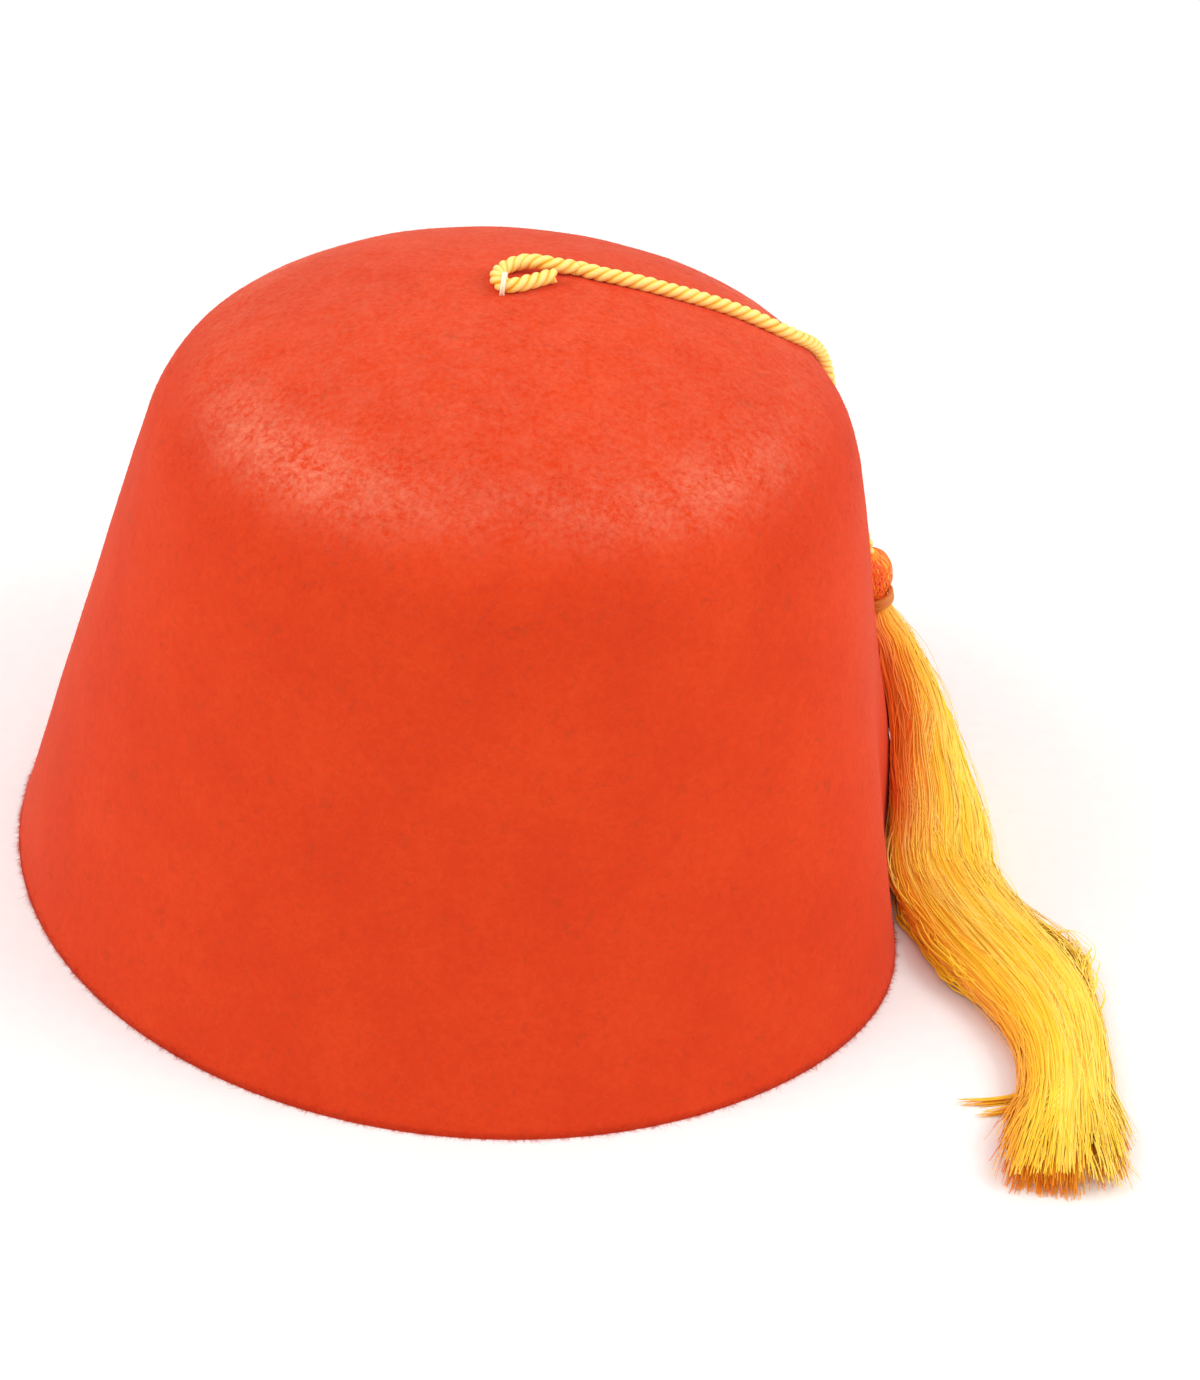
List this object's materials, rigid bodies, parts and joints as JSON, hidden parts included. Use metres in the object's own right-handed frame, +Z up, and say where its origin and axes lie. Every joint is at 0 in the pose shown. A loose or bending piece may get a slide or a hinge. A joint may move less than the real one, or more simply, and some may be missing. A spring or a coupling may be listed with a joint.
{
  "type": "fez hat",
  "caption": "Stiff felt fez with a rounded shoulder and low domed crown, a twisted cord from an eye on the crown and a floss tassel that hangs beside it and lies on the floor.",
  "frame": {"origin": "middle of the felt's footprint, on the surface that it stands on", "axes": "+Z up along the hat's axis; the cord runs over the +X side and the tassel lies towards -Y"},
  "size_m": [0.2231, 0.1948, 0.1307],
  "materials": {
    "felt": "blocked wool felt, orange-red, matt with a soft nap",
    "cord": "three-ply twisted rayon cord, pale yellow with golden grooves",
    "floss": "rayon floss, golden yellow, silky",
    "thread": "wound thread, darker gold"
  },
  "bodies": {
    "root": {"felt_body": "felt", "cord_eye": "cord", "tassel_cord": "cord", "tassel": "floss", "neck_binding": "thread"}
  },
  "joints": []
}
